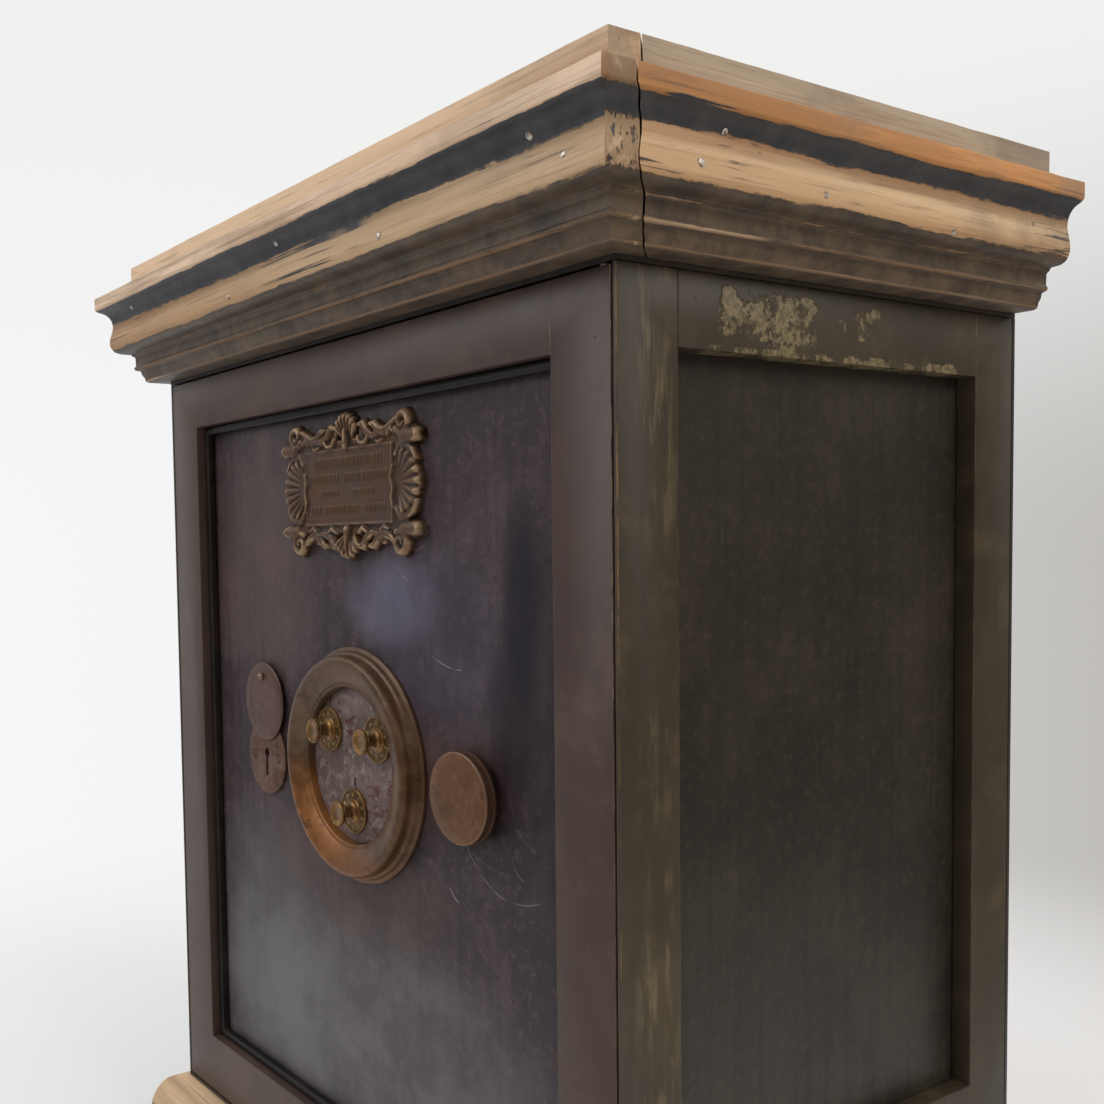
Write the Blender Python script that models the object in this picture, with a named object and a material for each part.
"""Iron safe on a wooden plinth, under a moulded wooden cornice.

Frame: metres, +Z up, the front faces -Y, the hinge side of the door is at +X. The origin is the
middle of the floor area. deep(d) is the plane a distance d behind the front face.
"""
import math

import bmesh
import bpy

# Driving dimensions
WIDTH = 0.600  # iron body, side face to side face
DEPTH = 0.400  # iron body, front face to back face
BODY_HEIGHT = 0.682
PLINTH_HEIGHT = 0.120
PLINTH_OUT = 0.042
CORNICE_HEIGHT = 0.110
CORNICE_OUT = 0.056  # lip of the cornice beyond the front face
CORNICE_SIDE_RATIO = 0.86  # the cornice projects less at the sides
CORNICE_RETURN = 0.024  # the front moulding runs round each corner this far
WOOD_LEDGE = 0.045  # mouldings reach this far inside the body's faces
WOOD_REBATE = 0.025

FRONT_STILE = 0.055
FRONT_TOP_RAIL = 0.048
FRONT_BOTTOM_RAIL = 0.057
SIDE_STILE = 0.049
SIDE_TOP_RAIL = 0.048
SIDE_BOTTOM_RAIL = 0.1175
FRAME_THICK = 0.0148  # raised frame bands
SHEET = 0.003  # plates and panels
BEAD_WIDTH = 0.007

LIP = 0.003  # edge of the side plate that shows beside the door
DOOR_CLEAR = 0.0015
PIVOT_IN = 0.009  # pivot axis, in from the door's edge
PIVOT_BACK = 0.0045
PIVOT_R = 0.0025
JAMB_WALL = 0.0417
JAMB_TOP = 0.0417
DOOR_SEAT = 0.0019  # between the door panel's back and the jamb
JAMB_END = 0.0900
PLUG_SIDE_CLEAR = 0.008
PLUG_TOP_CLEAR = 0.002
FILLING_END = 0.0450
CASE_END = 0.0785
CASE_WALL = 0.005
INTERIOR_END = 0.345
INNER_SHEET = 0.002
SHELF_THICK = 0.003

FITTING_DROP = 0.331  # row of fittings, below the top of the body
SIDE_FITTING_X = 0.146
ROSETTE_R = 0.092
ROSETTE_HOLE_R = 0.061
ROSETTE_PROUD = 0.017
DIAL_CIRCLE_R = 0.040
DIAL_R = 0.0175
SPINDLE_R = 0.0032
WHEEL_R = 0.015
ESCUTCHEON_R = 0.033
COVER_R = 0.034
COVER_ARM = 0.0235
KNOB_R = 0.0325
KNOB_SPINDLE_R = 0.006
BOLT_R = 0.009
BOLT_INSETS = (0.0937, 0.104)  # end bolts, in from the plug's bottom and top
BOLT_THROW = 0.020
PINION_TEETH = 16
PITCH_R = BOLT_THROW / (math.pi / 2)
NAMEPLATE_DROP = 0.114
NAMEPLATE_HALF = (0.0975, 0.0565)

# Named clearances
GAP = 0.0003
RUNNING = 0.00006
LOOSE = 0.0004

# Derived
FRONT_Y = (CORNICE_OUT - DEPTH) / 2
BODY_BASE = PLINTH_HEIGHT + GAP
BODY_TOP = PLINTH_HEIGHT + BODY_HEIGHT
HALF = WIDTH / 2
DOOR_HALF = HALF - LIP - DOOR_CLEAR
DOOR_BASE = BODY_BASE + SHEET + DOOR_CLEAR
DOOR_TOP = BODY_TOP - SHEET - DOOR_CLEAR
PANEL_FACE = FRAME_THICK + GAP
PANEL_BACK = PANEL_FACE + SHEET
JAMB_START = PANEL_BACK + DOOR_SEAT
OPENING_HALF = HALF - PANEL_BACK - GAP - JAMB_WALL
OPENING_BASE = BODY_BASE + SHEET + GAP + JAMB_TOP
OPENING_TOP = BODY_TOP - SHEET - GAP - JAMB_TOP
PLUG_HALF = OPENING_HALF - PLUG_SIDE_CLEAR
PLUG_BASE = OPENING_BASE + PLUG_TOP_CLEAR
PLUG_TOP = OPENING_TOP - PLUG_TOP_CLEAR
PIVOT_X = DOOR_HALF - PIVOT_IN
ROW_Z = BODY_TOP - FITTING_DROP
ROSETTE_Z = ROW_Z + 0.001
DIALS = [
    (
        DIAL_CIRCLE_R * math.cos(math.radians(a)),
        ROSETTE_Z + 0.004 + DIAL_CIRCLE_R * math.sin(math.radians(a)),
    )
    for a in (150, 30, 270)
]
ESCUTCHEON_Z = ROW_Z - 0.012
COVER_PIN_Z = ESCUTCHEON_Z + 0.025
BOLT_HEIGHTS = [PLUG_BASE + BOLT_INSETS[0], ROW_Z - 0.034, PLUG_TOP - BOLT_INSETS[1]]
DOG_HEIGHTS = [PLUG_BASE + 0.10, PLUG_TOP - 0.10]
RACK_Z = ROW_Z - PITCH_R
MODULE = 2 * PITCH_R / PINION_TEETH


def deep(d):
    return FRONT_Y + d


def clear_scene():
    for obj in list(bpy.data.objects):
        bpy.data.objects.remove(obj, do_unlink=True)


def material(name, color, roughness, metallic):
    made = bpy.data.materials.new(name)
    made.use_nodes = True
    shader = made.node_tree.nodes["Principled BSDF"]
    shader.inputs["Base Color"].default_value = (*color, 1)
    shader.inputs["Roughness"].default_value = roughness
    shader.inputs["Metallic"].default_value = metallic
    made.diffuse_color = (*color, 1)
    return made


def add(name, verts, faces, look, smooth=False, origin=(0, 0, 0)):
    """One object from points in world space, with its origin moved to the stated point."""
    mesh = bpy.data.meshes.new(name)
    mesh.from_pydata([[v[i] - origin[i] for i in range(3)] for v in verts], [], faces)
    work = bmesh.new()
    work.from_mesh(mesh)
    bmesh.ops.recalc_face_normals(work, faces=work.faces)
    work.to_mesh(mesh)
    work.free()
    obj = bpy.data.objects.new(name, mesh)
    obj.location = origin
    bpy.context.scene.collection.objects.link(obj)
    if look:
        mesh.materials.append(material(name, *look))
    if smooth:
        for face in mesh.polygons:
            face.use_smooth = True
        mesh.set_sharp_from_angle(angle=math.radians(32))
    return obj


def box(name, low, high, look, origin=(0, 0, 0)):
    xs, ys, zs = zip(low, high)
    verts = [(x, y, z) for x in xs for y in ys for z in zs]
    faces = [(0, 1, 3, 2), (4, 6, 7, 5), (0, 4, 5, 1), (2, 3, 7, 6), (0, 2, 6, 4), (1, 5, 7, 3)]
    return add(name, verts, faces, look, origin=origin)


def holed_plate(name, axis, span, outer, inner, look):
    """A flat plate with one rectangular opening. outer and inner are (u0, v0, u1, v1)."""

    def place(u, v, w):
        return (w, u, v) if axis == "x" else (u, w, v) if axis == "y" else (u, v, w)

    verts = []
    for w in span:
        for u0, v0, u1, v1 in (outer, inner):
            verts += [place(u, v, w) for u, v in ((u0, v0), (u1, v0), (u1, v1), (u0, v1))]
    faces = []
    for i in range(4):
        j = (i + 1) % 4
        faces += [(i, j, 4 + j, 4 + i), (8 + i, 8 + j, 12 + j, 12 + i)]
        faces += [(i, j, 8 + j, 8 + i), (4 + i, 4 + j, 12 + j, 12 + i)]
    return add(name, verts, faces, look)


def open_box(name, low, high, hollow_low, hollow_high, look):
    """A thick-walled box that opens at its -Y face."""
    verts = []
    for lo, hi in ((low, high), ((hollow_low[0], low[1], hollow_low[2]), hollow_high)):
        for y in (lo[1], hi[1]):
            verts += [(x, y, z) for x, z in ((lo[0], lo[2]), (hi[0], lo[2]), (hi[0], hi[2]), (lo[0], hi[2]))]
    faces = [(4, 5, 6, 7), (12, 13, 14, 15)]
    for i in range(4):
        j = (i + 1) % 4
        faces += [(i, j, 4 + j, 4 + i), (8 + i, 8 + j, 12 + j, 12 + i), (i, j, 8 + j, 8 + i)]
    return add(name, verts, faces, look)


def turned(name, centre, profile, look, around=48):
    """A solid of revolution about an axis along Y. profile holds (radius, depth behind the front)."""
    x0, z0 = centre
    verts, rings = [], []
    for r, d in profile:
        if r < 1e-9:
            rings.append([len(verts)])
            verts.append((x0, deep(d), z0))
            continue
        rings.append(list(range(len(verts), len(verts) + around)))
        for k in range(around):
            a = 2 * math.pi * k / around
            verts.append((x0 + r * math.cos(a), deep(d), z0 + r * math.sin(a)))
    pairs = list(zip(rings, rings[1:]))
    if len(rings[0]) > 1:
        pairs.append((rings[-1], rings[0]))
    faces = []
    for a, b in pairs:
        for k in range(around):
            j = (k + 1) % around
            if len(a) == 1:
                faces.append((a[0], b[j], b[k]))
            elif len(b) == 1:
                faces.append((a[k], a[j], b[0]))
            else:
                faces.append((a[k], a[j], b[j], b[k]))
    return add(name, verts, faces, look, smooth=True, origin=(x0, deep(profile[0][1]), z0))


def rod(name, centre, radius, d0, d1, look, around=32):
    return turned(name, centre, [(0, d0), (radius, d0), (radius, d1), (0, d1)], look, around)


def bar_x(name, x0, x1, d, z, radius, look, around=32):
    verts = []
    for x in (x0, x1):
        for k in range(around):
            a = 2 * math.pi * k / around
            verts.append((x, deep(d) + radius * math.cos(a), z + radius * math.sin(a)))
    faces = [tuple(range(around)), tuple(range(around, 2 * around))]
    faces += [(k, (k + 1) % around, around + (k + 1) % around, around + k) for k in range(around)]
    return add(name, verts, faces, look, smooth=True)


def bar_z(name, x, d, z0, z1, radius, look, around=24):
    verts = []
    for z in (z0, z1):
        for k in range(around):
            a = 2 * math.pi * k / around
            verts.append((x + radius * math.cos(a), deep(d) + radius * math.sin(a), z))
    faces = [tuple(range(around)), tuple(range(around, 2 * around))]
    faces += [(k, (k + 1) % around, around + (k + 1) % around, around + k) for k in range(around)]
    return add(name, verts, faces, look, smooth=True)


def slab(name, outline, d0, d1, look, origin=(0, 0, 0)):
    """An outline of (x, z) points, given thickness along Y."""
    n = len(outline)
    verts = [(x, deep(d), z) for d in (d0, d1) for x, z in outline]
    faces = [tuple(range(n)), tuple(range(n, 2 * n))]
    faces += [(k, (k + 1) % n, n + (k + 1) % n, n + k) for k in range(n)]
    return add(name, verts, faces, look, origin=origin)


def combine(obj, tool, operation):
    tool.hide_render = True
    tool.display_type = "WIRE"
    change = obj.modifiers.new(tool.name, "BOOLEAN")
    change.operation = operation
    change.solver = "EXACT"
    change.object = tool


def cut(obj, *tools):
    for tool in tools:
        combine(obj, tool, "DIFFERENCE")


def moulding(name, profile, stations, look):
    """A moulded length: each station places an (out, z) point of the profile in plan."""
    n = len(profile)
    verts = [(*place(out), z) for place in stations for out, z in profile]
    faces = [tuple(range(n)), tuple(range((len(stations) - 1) * n, len(stations) * n))]
    for s in range(len(stations) - 1):
        for k in range(n):
            j = (k + 1) % n
            faces.append((s * n + k, s * n + j, s * n + n + j, s * n + n + k))
    return add(name, verts, faces, look)


BARE_WOOD = ((0.60, 0.43, 0.26), 0.7, 0.0)
BOARD_WOOD = ((0.33, 0.22, 0.13), 0.8, 0.0)
FRAME_PAINT = ((0.072, 0.062, 0.055), 0.45, 0.3)
PANEL_PAINT = ((0.040, 0.030, 0.040), 0.40, 0.3)
SIDE_PAINT = ((0.030, 0.026, 0.020), 0.45, 0.3)
IRON = ((0.10, 0.09, 0.085), 0.6, 0.8)
FILLING = ((0.55, 0.53, 0.49), 0.95, 0.0)
STEEL = ((0.45, 0.44, 0.42), 0.35, 1.0)
BRASS = ((0.42, 0.30, 0.14), 0.4, 1.0)
BROWN_METAL = ((0.16, 0.085, 0.045), 0.45, 0.8)
INNER_PAINT = ((0.28, 0.27, 0.22), 0.5, 0.1)

CORNICE_POINTS = [  # fractions of the projection and of the height
    (0.32, 0.000), (0.345, 0.020), (0.37, 0.036), (0.42, 0.077), (0.43, 0.114),
    (0.475, 0.128), (0.485, 0.210), (0.51, 0.247), (0.64, 0.257), (0.74, 0.280),
    (0.80, 0.336), (0.80, 0.391), (0.775, 0.455), (0.765, 0.510), (0.79, 0.565),
    (0.86, 0.605), (0.965, 0.632), (1.0, 0.650), (1.0, 0.752), (0.49, 0.754),
    (0.49, 1.0),
]
PLINTH_POINTS = [
    (0.98, 0.0), (1.0, 0.017), (1.0, 0.53), (0.96, 0.55), (0.88, 0.57), (0.76, 0.60),
    (0.70, 0.64), (0.67, 0.67), (0.69, 0.69), (0.69, 0.74), (0.65, 0.80), (0.57, 0.875),
    (0.45, 0.937), (0.29, 0.98), (0.12, 1.0),
]


def cornice_profile():
    base = BODY_TOP + GAP
    height = CORNICE_HEIGHT - GAP
    ledge = base + 0.8 * height
    points = [(o * CORNICE_OUT, base + z * height) for o, z in CORNICE_POINTS]
    inner = [(-WOOD_REBATE, base + height), (-WOOD_REBATE, ledge), (-WOOD_LEDGE, ledge)]
    return points + inner + [(-WOOD_LEDGE, base)], ledge


def plinth_profile():
    ledge = 0.82 * PLINTH_HEIGHT
    points = [(o * PLINTH_OUT, z * PLINTH_HEIGHT) for o, z in PLINTH_POINTS]
    inner = [(-WOOD_REBATE, PLINTH_HEIGHT), (-WOOD_REBATE, ledge), (-WOOD_LEDGE, ledge)]
    return points + inner + [(-WOOD_LEDGE, 0)], ledge


def corner(side, ratio, along=0.0):
    """The line on which a profile turns the front corner, or one further along the side."""
    return lambda out: (side * (HALF + out * ratio), deep(along - out))


def side_end(side, ratio):
    return lambda out: (side * (HALF + out * ratio), deep(DEPTH))


def wood_ring(kind, profile, ledge, low, high, ratio, back):
    """The three mouldings, the back rail and the board let into them, for the plinth or the cornice."""
    moulding(kind + "_front", profile,
             [corner(-1, ratio, back), corner(-1, ratio), corner(1, ratio), corner(1, ratio, back)]
             if back else [corner(-1, ratio), corner(1, ratio)], BARE_WOOD)
    for side, name in ((-1, "left"), (1, "right")):
        moulding(f"{kind}_{name}", profile, [corner(side, ratio, back + 2 * GAP), side_end(side, ratio)],
                 BARE_WOOD)
    inside = HALF - WOOD_LEDGE * ratio - GAP
    box(kind + "_back_rail", (-inside, deep(DEPTH - 0.022), low), (inside, deep(DEPTH), ledge),
        BOARD_WOOD)
    inside = HALF - WOOD_REBATE * ratio - GAP
    box(kind + "_board", (-inside, deep(WOOD_REBATE + GAP), ledge + GAP), (inside, deep(DEPTH), high),
        BOARD_WOOD)


def build_wood():
    profile, ledge = plinth_profile()
    wood_ring("plinth", profile, ledge, 0.0, PLINTH_HEIGHT, 1.0, 0.0)
    profile, ledge = cornice_profile()
    wood_ring("cornice", profile, ledge, BODY_TOP + GAP, BODY_TOP + CORNICE_HEIGHT,
              CORNICE_SIDE_RATIO, CORNICE_RETURN)


def plate_holes(z0, z1, tag):
    return bar_z("hole_" + tag, PIVOT_X, PIVOT_BACK, z0, z1, PIVOT_R + RUNNING, None)


def build_shell():
    top = box("top_plate", (-HALF, deep(0), BODY_TOP - SHEET), (HALF, deep(DEPTH), BODY_TOP), IRON)
    cut(top, plate_holes(BODY_TOP - SHEET - 0.01, BODY_TOP + 0.01, "top_plate"))
    base = box("bottom_plate", (-HALF, deep(0), BODY_BASE), (HALF, deep(DEPTH), BODY_BASE + SHEET), IRON)
    cut(base, plate_holes(BODY_BASE - 0.01, BODY_BASE + SHEET + 0.01, "bottom_plate"))
    low, high = BODY_BASE + SHEET + GAP, BODY_TOP - SHEET - GAP
    box("back_plate", (-HALF, deep(DEPTH - SHEET), low), (HALF, deep(DEPTH), high), IRON)
    for side, name in ((-1, "left"), (1, "right")):
        face = side * HALF
        back = side * (HALF - FRAME_THICK)
        span = sorted((face, back))
        frame = holed_plate(
            f"{name}_side_frame", "x", span,
            (deep(0), low, deep(DEPTH - SHEET - GAP), high),
            (deep(SIDE_STILE), BODY_BASE + SIDE_BOTTOM_RAIL, deep(DEPTH - SIDE_STILE),
             BODY_TOP - SIDE_TOP_RAIL), FRAME_PAINT)
        inner = sorted((side * (HALF - LIP), side * (HALF - 0.05)))
        cut(frame, box(f"rebate_{name}", (inner[0], deep(-0.01), low - 0.01),
                       (inner[1], deep(JAMB_START - GAP), high + 0.01), None))
        xs = sorted((side * (HALF - FRAME_THICK - GAP), side * (HALF - PANEL_BACK)))
        box(f"{name}_side_panel", (xs[0], deep(JAMB_START), low + GAP),
            (xs[1], deep(DEPTH - SHEET - GAP), high - GAP), SIDE_PAINT)


def build_interior():
    low, high = BODY_BASE + SHEET + GAP, BODY_TOP - SHEET - GAP
    outer = HALF - PANEL_BACK - GAP
    jamb = holed_plate("front_jamb", "y", (deep(JAMB_START), deep(JAMB_END)),
                       (-outer, low, outer, high),
                       (-OPENING_HALF, OPENING_BASE, OPENING_HALF, OPENING_TOP), IRON)
    bolt_d = (FILLING_END + CASE_END) / 2
    for k, z in enumerate(BOLT_HEIGHTS):
        cut(jamb, bar_x(f"bolt_hole_{k + 1}", -OPENING_HALF - 0.018, -OPENING_HALF + 0.005,
                        bolt_d, z, BOLT_R + 0.0015, None))
    for k, z in enumerate(DOG_HEIGHTS):
        cut(jamb, box(f"dog_socket_{k + 1}", (OPENING_HALF - 0.005, deep(bolt_d - 0.016), z - 0.012),
                      (OPENING_HALF + 0.010, deep(bolt_d + 0.012), z + 0.012), None))
    wall = 0.0035
    hollow = (OPENING_HALF - wall, OPENING_BASE + wall, OPENING_TOP - wall)
    open_box("fireproof_filling", (-outer, deep(JAMB_END + GAP), low),
             (outer, deep(DEPTH - SHEET - GAP), high),
             (-hollow[0] - GAP, 0, hollow[1] - GAP),
             (hollow[0] + GAP, deep(INTERIOR_END + GAP), hollow[2] + GAP), FILLING)
    open_box("inner_box", (-hollow[0], deep(JAMB_END + GAP), hollow[1]),
             (hollow[0], deep(INTERIOR_END), hollow[2]),
             (-hollow[0] + INNER_SHEET, 0, hollow[1] + INNER_SHEET),
             (hollow[0] - INNER_SHEET, deep(INTERIOR_END - INNER_SHEET), hollow[2] - INNER_SHEET),
             INNER_PAINT)
    wide = hollow[0] - INNER_SHEET - GAP
    middle = (hollow[1] + hollow[2]) / 2
    front, back = JAMB_END + 0.012, INTERIOR_END - INNER_SHEET - GAP
    box("shelf", (-wide, deep(front), middle), (wide, deep(back), middle + SHELF_THICK), INNER_PAINT)
    for side, name in ((-1, "left"), (1, "right")):
        leg = side * (wide - 0.014), side * wide
        rise = side * (wide - 0.002)
        z = middle - GAP
        points = [(leg[1], z), (leg[0], z), (leg[0], z - 0.002), (rise, z - 0.002),
                  (rise, z - 0.018), (leg[1], z - 0.018)]
        slab(f"shelf_bracket_{name}", points, front + 0.004, back, IRON)


def build_door():
    frame = holed_plate("door_frame", "y", (deep(0), deep(FRAME_THICK)),
                        (-DOOR_HALF, DOOR_BASE, DOOR_HALF, DOOR_TOP),
                        (-HALF + FRONT_STILE, BODY_BASE + FRONT_BOTTOM_RAIL, HALF - FRONT_STILE,
                         BODY_TOP - FRONT_TOP_RAIL), FRAME_PAINT)
    cut(frame, plate_holes(DOOR_TOP - 0.012, DOOR_TOP + 0.01, "door_top"),
        plate_holes(DOOR_BASE - 0.01, DOOR_BASE + 0.012, "door_base"))
    bar_z("pivot_pin_top", PIVOT_X, PIVOT_BACK, DOOR_TOP - 0.011, BODY_TOP, PIVOT_R, STEEL)
    bar_z("pivot_pin_bottom", PIVOT_X, PIVOT_BACK, BODY_BASE, DOOR_BASE + 0.011, PIVOT_R, STEEL)
    panel = box("door_panel", (-DOOR_HALF + 0.004, deep(PANEL_FACE), DOOR_BASE + 0.004),
                (PIVOT_X - 0.016, deep(PANEL_BACK), DOOR_TOP - 0.004), PANEL_PAINT)
    edge = HALF - FRONT_STILE - GAP
    z0, z1 = BODY_BASE + FRONT_BOTTOM_RAIL + GAP, BODY_TOP - FRONT_TOP_RAIL - GAP
    holed_plate("door_panel_bead", "y", (deep(0.0075), deep(FRAME_THICK)), (-edge, z0, edge, z1),
                (-edge + BEAD_WIDTH, z0 + BEAD_WIDTH, edge - BEAD_WIDTH, z1 - BEAD_WIDTH), PANEL_PAINT)
    filling = box("door_filling", (-PLUG_HALF, deep(PANEL_BACK + GAP), PLUG_BASE),
                  (PLUG_HALF, deep(FILLING_END), PLUG_TOP), FILLING)
    for obj, tag in ((panel, "panel"), (filling, "filling")):
        for k, centre in enumerate(DIALS):
            cut(obj, rod(f"{tag}_dial_hole_{k + 1}", centre, SPINDLE_R + LOOSE, 0, 0.06, None))
        cut(obj, rod(f"{tag}_knob_hole", (SIDE_FITTING_X, ROW_Z), KNOB_SPINDLE_R + LOOSE, 0, 0.06, None))
        cut(obj, key_slot(f"{tag}_key_slot", 0.0005))
    case = holed_plate("door_bolt_case", "y", (deep(FILLING_END + GAP), deep(CASE_END)),
                       (-PLUG_HALF, PLUG_BASE, PLUG_HALF, PLUG_TOP),
                       (-PLUG_HALF + CASE_WALL, PLUG_BASE + CASE_WALL, PLUG_HALF - CASE_WALL,
                        PLUG_TOP - CASE_WALL), IRON)
    bolt_d = (FILLING_END + CASE_END) / 2
    for k, z in enumerate(BOLT_HEIGHTS):
        cut(case, bar_x(f"case_hole_{k + 1}", -PLUG_HALF - 0.01, -PLUG_HALF + CASE_WALL + 0.01,
                        bolt_d, z, BOLT_R + LOOSE, None))
    for k, z in enumerate(DOG_HEIGHTS):
        bar_x(f"dog_bolt_{k + 1}", PLUG_HALF + GAP, PLUG_HALF + PLUG_SIDE_CLEAR + 0.005, bolt_d, z,
              BOLT_R, STEEL)
    box("door_back_plate", (-PLUG_HALF, deep(CASE_END + GAP), PLUG_BASE),
        (PLUG_HALF, deep(CASE_END + GAP + SHEET), PLUG_TOP), INNER_PAINT)


def key_slot(name, extra):
    """Keyhole outline: a round top with a straight slot below it."""
    r, w = 0.0042 + extra, 0.0021 + extra
    x0, top = -SIDE_FITTING_X, ESCUTCHEON_Z + 0.003
    start = math.asin(w / r)
    points = [(x0 + w, top - 0.020 - extra)]
    for k in range(17):
        a = -math.pi / 2 + start + (2 * math.pi - 2 * start) * k / 16
        points.append((x0 + r * math.cos(a), top + r * math.sin(a)))
    points.append((x0 - w, top - 0.020 - extra))
    return slab(name, points, 0.0, 0.06, None)


def build_lock():
    low = (-0.165, deep(FILLING_END + 2 * GAP), ROSETTE_Z - 0.070)
    high = (0.070, deep(0.0640), ROSETTE_Z + 0.062)
    case = box("lock_case", low, high, IRON)
    cut(case, box("lock_hollow", (low[0] + 0.003, low[1] + 0.003, low[2] + 0.003),
                  (high[0] - 0.003, high[1] + 0.01, high[2] - 0.003), None))
    for k, centre in enumerate(DIALS):
        cut(case, rod(f"case_spindle_hole_{k + 1}", centre, SPINDLE_R + LOOSE, 0.03, 0.055, None))
        rod(f"dial_spindle_{k + 1}", centre, SPINDLE_R, 0.0085, 0.0625, STEEL, around=24)
        wheel = turned(f"combination_wheel_{k + 1}", centre,
                       [(SPINDLE_R + RUNNING, 0.0510), (WHEEL_R, 0.0510), (WHEEL_R, 0.0570),
                        (SPINDLE_R + RUNNING, 0.0570)], BRASS, around=24)
        cut(wheel, box(f"wheel_gate_{k + 1}", (centre[0] - 0.002, deep(0.04), centre[1] + 0.010),
                       (centre[0] + 0.002, deep(0.07), centre[1] + 0.02), None))


def build_rosette():
    centre = (0.0, ROSETTE_Z)
    back = FRAME_THICK
    face = PANEL_FACE - ROSETTE_PROUD
    ring = [(ROSETTE_HOLE_R, back), (ROSETTE_HOLE_R, face + 0.0045), (0.0655, face + 0.0010),
            (0.0720, face), (0.0790, face + 0.0014), (0.0812, face + 0.0040), (0.0845, face + 0.0050),
            (0.0865, face + 0.0085), (0.0895, face + 0.0095), (ROSETTE_R, face + 0.0125),
            (ROSETTE_R, back)]
    turned("rosette_ring", centre, ring, BROWN_METAL, around=72)
    plate = rod("rosette_plate", centre, ROSETTE_HOLE_R - GAP, 0.0118, back, BROWN_METAL, around=72)
    for k, spot in enumerate(DIALS):
        cut(plate, rod(f"plate_hole_{k + 1}", spot, SPINDLE_R + LOOSE, 0, 0.03, None))
        turned(f"dial_{k + 1}", spot, [
            (0, -0.0062), (0.0090, -0.0062), (0.0098, -0.0052), (0.0098, -0.0036), (0.0090, -0.0026),
            (0.0052, -0.0018), (0.0048, 0.0020), (0.0080, 0.0062), (0.0110, 0.0080), (0.0120, 0.0086),
            (DIAL_R - 0.0004, 0.0092), (DIAL_R, 0.0098), (DIAL_R, 0.0114), (SPINDLE_R + RUNNING, 0.0114),
            (SPINDLE_R + RUNNING, 0.0080), (0, 0.0080)], BRASS, around=40)


def build_keyhole():
    x = -SIDE_FITTING_X
    disc = rod("keyhole_escutcheon", (x, ESCUTCHEON_Z), ESCUTCHEON_R, 0.0128, FRAME_THICK,
               BROWN_METAL, around=56)
    cut(disc, key_slot("escutcheon_slot", 0.0))
    pin = (x, COVER_PIN_Z)
    cut(disc, rod("escutcheon_pin_hole", pin, 0.0022 + RUNNING, 0, 0.03, None, around=24))
    rod("keyhole_cover_pin", pin, 0.0022, 0.0112, FRAME_THICK, STEEL, around=24)
    for side, name in ((-1, "left"), (1, "right")):
        screw = rod(f"escutcheon_screw_{name}", (x + side * 0.0215, ESCUTCHEON_Z), 0.0031, 0.0130,
                    0.0143, BROWN_METAL, around=24)
        cut(disc, rod(f"escutcheon_screw_hole_{name}", (x + side * 0.0215, ESCUTCHEON_Z), 0.0033,
                      0, 0.03, None, around=24))
        cut(screw, box(f"screw_slot_{name}", (x + side * 0.0215 - 0.0004, deep(0.01), ESCUTCHEON_Z - 0.01),
                       (x + side * 0.0215 + 0.0004, deep(0.0136), ESCUTCHEON_Z + 0.01), None))
    middle = (x, COVER_PIN_Z + COVER_ARM)
    cover = turned("keyhole_cover", middle, [
        (0, 0.0100), (COVER_R - 0.0008, 0.0100), (COVER_R, 0.0106), (COVER_R, 0.0125), (0, 0.0125)],
        BROWN_METAL, around=56)
    cut(cover, rod("cover_pin_hole", pin, 0.0022 + RUNNING, 0.0110, 0.03, None, around=24))
    turned("keyhole_cover_stud", (x, COVER_PIN_Z + COVER_ARM + 0.022), [
        (0, 0.0058), (0.0026, 0.0060), (0.0034, 0.0070), (0.0034, 0.0082), (0.0022, 0.0092),
        (0.0022, 0.0098), (0, 0.0098)], STEEL, around=24)


def pinion_outline():
    """Teeth with straight flanks and room between them and the rack's."""
    pitch = 2 * math.pi / PINION_TEETH
    half = 0.21 * pitch
    lean = math.tan(math.radians(20))
    steps = [(-1.15, 1), (-0.4, 1), (0.2, 1), (0.8, 1)]
    points = []
    for k in range(PINION_TEETH):
        middle = (k + 0.5) * pitch
        flank = [(PITCH_R + h * MODULE, half - h * MODULE * lean / PITCH_R) for h, _ in steps]
        for r, a in flank:
            points.append((r, middle - a))
        for r, a in reversed(flank):
            points.append((r, middle + a))
    return [(SIDE_FITTING_X + r * math.cos(a), ROW_Z + r * math.sin(a)) for r, a in points]


def rack_outline(x0, x1, low):
    pitch = math.pi * MODULE
    lean = math.tan(math.radians(20))
    half = 0.21 * pitch
    points = [(x1, low), (x0, low)]
    root, tip = RACK_Z - 1.15 * MODULE, RACK_Z + 0.8 * MODULE
    wide, narrow = half + 1.15 * MODULE * lean, half - 0.8 * MODULE * lean
    points.append((x0, root))
    for k in range(-2, 7):
        x = SIDE_FITTING_X + k * pitch
        points += [(x - wide, root), (x - narrow, tip), (x + narrow, tip), (x + wide, root)]
    points.append((x1, root))
    return points


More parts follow.
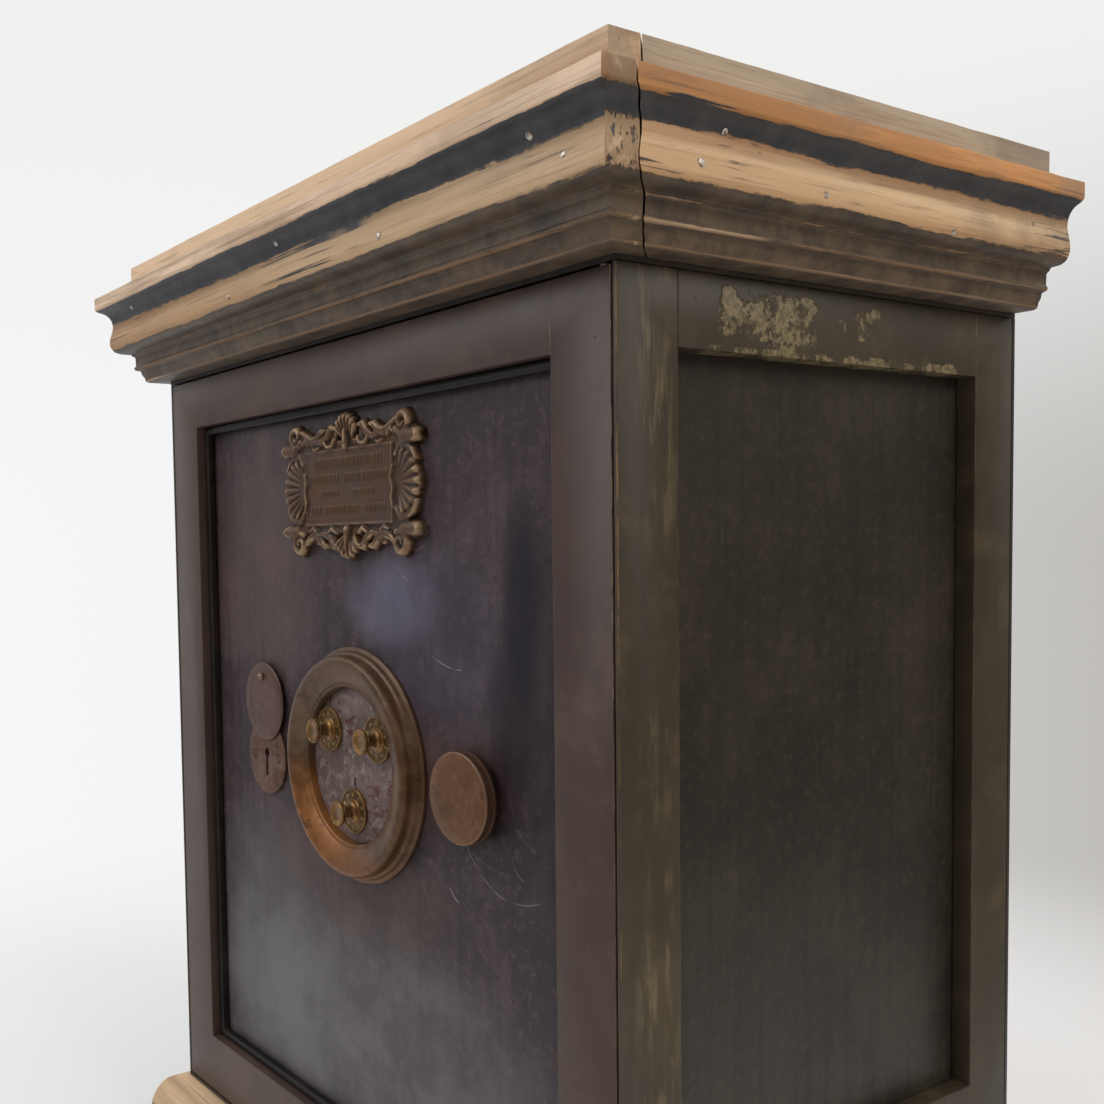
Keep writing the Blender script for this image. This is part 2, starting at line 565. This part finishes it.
def build_bolt_work():
    centre = (SIDE_FITTING_X, ROW_Z)
    turned("bolt_knob", centre, [
        (0, 0.0002), (KNOB_R - 0.0012, 0.0), (KNOB_R, 0.0010), (KNOB_R, 0.0088), (KNOB_R - 0.0012, 0.0098),
        (0.013, 0.0100), (0.0125, FRAME_THICK), (KNOB_SPINDLE_R + RUNNING, FRAME_THICK),
        (KNOB_SPINDLE_R + RUNNING, 0.0070), (0, 0.0070)], BROWN_METAL, around=56)
    rod("bolt_knob_spindle", centre, KNOB_SPINDLE_R, 0.0075, 0.0750, STEEL)
    pinion = slab("bolt_pinion", pinion_outline(), 0.0655, 0.0735, BRASS,
                  origin=(centre[0], deep(0.0655), centre[1]))
    cut(pinion, rod("pinion_bore", centre, KNOB_SPINDLE_R + RUNNING, 0.05, 0.08, None))
    bolt_d = (FILLING_END + CASE_END) / 2
    bar = -PLUG_HALF + 0.042
    low = RACK_Z - 0.012
    carriage = box("bolt_carriage", (bar, deep(0.0600), BOLT_HEIGHTS[0] - 0.02),
                   (bar + 0.012, deep(0.0740), BOLT_HEIGHTS[2] + 0.02), STEEL)
    rack = slab("rack_bar", rack_outline(bar + 0.006, SIDE_FITTING_X + 0.050, low), 0.0655, 0.0735, None)
    combine(carriage, rack, "UNION")
    for k, z in enumerate(BOLT_HEIGHTS):
        bar_x(f"bolt_{k + 1}", -PLUG_HALF + 0.0005, bar - GAP, bolt_d, z, BOLT_R, STEEL)


def build_nameplate():
    z0 = BODY_TOP - NAMEPLATE_DROP
    wide, high = NAMEPLATE_HALF
    quarter = [(1.0, 0.12), (0.93, 0.17), (0.87, 0.27), (0.92, 0.40), (0.86, 0.52), (0.90, 0.66),
               (0.88, 0.85), (0.76, 0.89), (0.68, 0.78), (0.58, 0.83), (0.50, 0.79), (0.42, 0.88),
               (0.31, 0.84), (0.22, 0.90), (0.12, 0.96), (0.05, 1.0)]
    right = [(x * wide, z * high) for x, z in quarter]
    half = right + [(-x, z) for x, z in reversed(right)]
    outline = half + [(x, -z) for x, z in reversed(half)]
    plate = slab("nameplate", [(x, z0 + z) for x, z in outline], 0.0105, FRAME_THICK, BROWN_METAL)
    for sx in (-1, 1):
        for sz in (-1, 1):
            spot = (sx * 0.82 * wide, z0 + sz * 0.76 * high)
            combine(plate, rod(f"scroll_{sx}_{sz}", spot, 0.0085, 0.0055, 0.0125, None, around=20), "UNION")
    for k, (x, z, r) in enumerate(((0, 0.84, 0.010), (0, -0.84, 0.010), (0.90, 0, 0.009), (-0.90, 0, 0.009))):
        combine(plate, rod(f"shell_{k}", (x * wide, z0 + z * high), r, 0.0065, 0.0125, None, around=20),
                "UNION")
    rim = holed_plate("name_rim", "y", (deep(0.0082), deep(0.0120)),
                      (-0.067, z0 - 0.034, 0.067, z0 + 0.034), (-0.063, z0 - 0.030, 0.063, z0 + 0.030), None)
    combine(plate, rim, "UNION")


clear_scene()
build_wood()
build_shell()
build_interior()
build_door()
build_lock()
build_rosette()
build_keyhole()
build_bolt_work()
build_nameplate()
